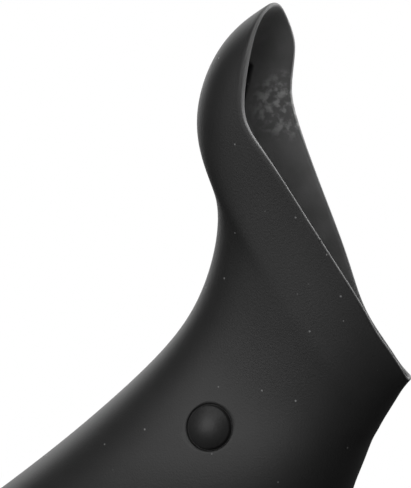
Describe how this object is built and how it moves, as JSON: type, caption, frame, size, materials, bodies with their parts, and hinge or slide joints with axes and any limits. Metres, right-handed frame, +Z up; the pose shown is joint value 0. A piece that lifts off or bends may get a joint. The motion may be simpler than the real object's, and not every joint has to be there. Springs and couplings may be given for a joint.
{
  "type": "brake lever hood",
  "caption": "Moulded rubber hood for a bicycle brake lever: raised horn, open front, flared handlebar mouth and a small round side button.",
  "frame": {"origin": "middle of the flat handlebar mouth's plane, below the middle of the part's box", "axes": "+X toward the lever side, +Y toward the side without the button, +Z up from the handlebar mouth to the horn"},
  "size_m": [0.1116, 0.042, 0.1235],
  "materials": {
    "rubber": "matt moulded"
  },
  "bodies": {
    "root": {"lever_hood": "rubber"}
  },
  "joints": []
}
